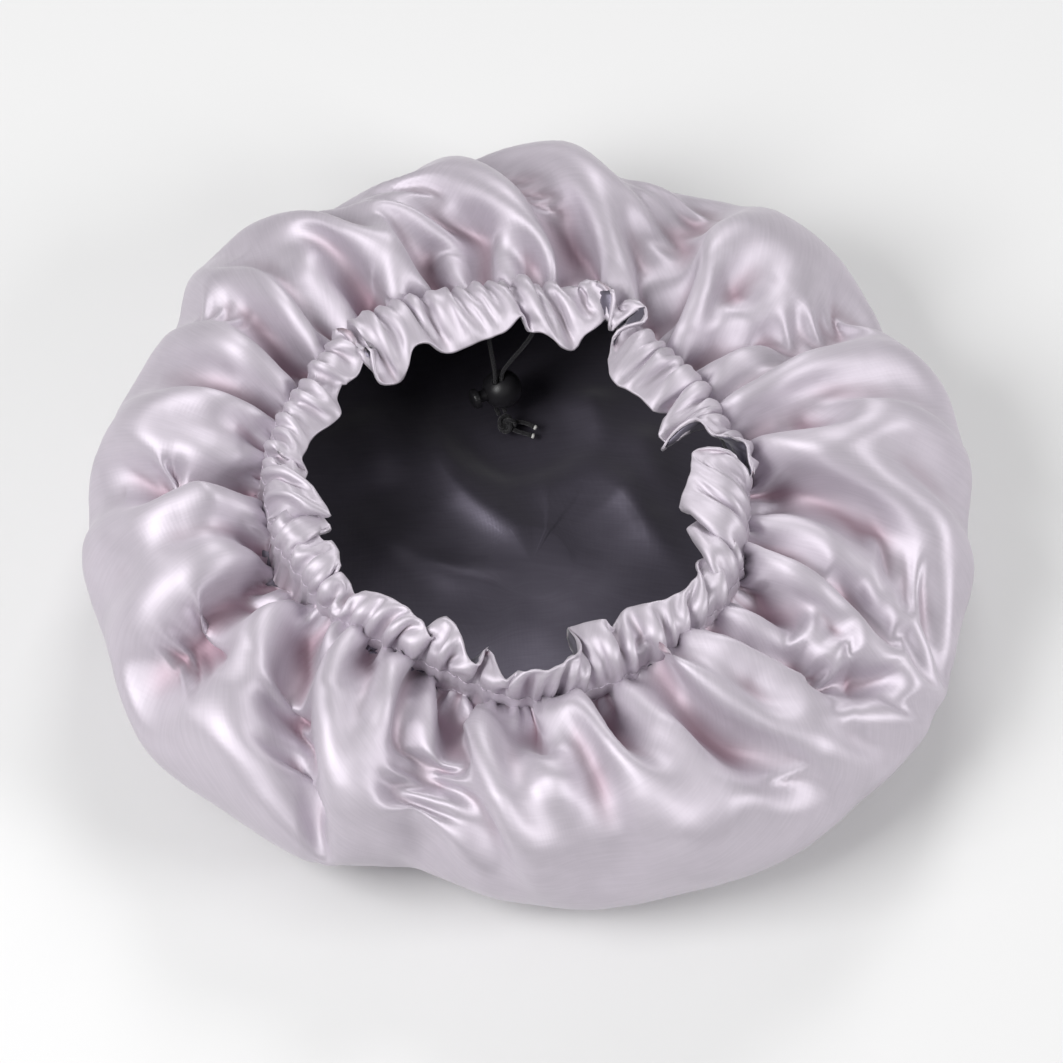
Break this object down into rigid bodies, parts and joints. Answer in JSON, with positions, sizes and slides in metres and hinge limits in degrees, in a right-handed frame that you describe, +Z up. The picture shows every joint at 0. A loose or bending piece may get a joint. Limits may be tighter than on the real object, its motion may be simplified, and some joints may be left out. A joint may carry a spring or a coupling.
{
  "type": "hair bonnet",
  "caption": "Double-layer satin hair bonnet lying crown down, with a gathered ruffled opening, an elastic draw cord in a stitched casing and a sprung ball cord lock.",
  "frame": {"origin": "on the table, under the middle of the bonnet's box, with the crown underneath and the opening up", "axes": "+Z up out of the opening, -Y towards the front of the bonnet, the cord lock hangs at the back (+Y)"},
  "size_m": [0.3606, 0.3584, 0.0963],
  "materials": {
    "outer_satin": "glossy silver-lilac satin",
    "lining_satin": "near-black satin with a soft sheen",
    "outer_thread": "spun polyester thread",
    "lining_thread": "spun polyester thread",
    "elastic_cord": "braided elastic cord",
    "fused_tip": "cut and heat-fused cord core",
    "lock_plastic": "satin moulded plastic",
    "spring_steel": "drawn wire"
  },
  "bodies": {
    "bag": {"outer_panel": "outer_satin", "lining_panel": "lining_satin", "lower_row_needle_thread": "outer_thread", "upper_row_needle_thread": "outer_thread", "lower_row_bobbin_thread": "lining_thread", "upper_row_bobbin_thread": "lining_thread", "draw_cord": "elastic_cord", "cord_exit_left": "elastic_cord", "cord_exit_right": "elastic_cord"},
    "cord_end": {"cord_upper_left": "elastic_cord", "cord_upper_right": "elastic_cord", "cord_lower_left": "elastic_cord", "cord_lower_right": "elastic_cord", "cord_knot": "elastic_cord", "cord_tail_left": "elastic_cord", "cord_tail_right": "elastic_cord", "cord_tip_left": "fused_tip", "cord_tip_right": "fused_tip"},
    "lock": {"lock_body": "lock_plastic", "lock_spring": "spring_steel"},
    "plunger": {"lock_plunger": "lock_plastic"}
  },
  "joints": [
    {"name": "cord_swing", "type": "hinge", "parent": "bag", "child": "cord_end", "pos_m": [-0.00886, 0.07478, 0.0669], "axis": [-1, 0, 0], "range_deg": [-35, 100]},
    {"name": "lock_slide", "type": "slide", "parent": "cord_end", "child": "lock", "axis": [0, 0, 1], "range_m": [-0.0015, 0.02], "deforming": ["cord_upper_left", "cord_upper_right", "cord_lower_left", "cord_lower_right"]},
    {"name": "plunger_press", "type": "slide", "parent": "lock", "child": "plunger", "axis": [0.9063, 0.4226, 0], "range_m": [0, 0.0024], "stiffness_N_per_m": 500, "springref_m": -0.001, "deforming": ["lock_spring"]}
  ]
}
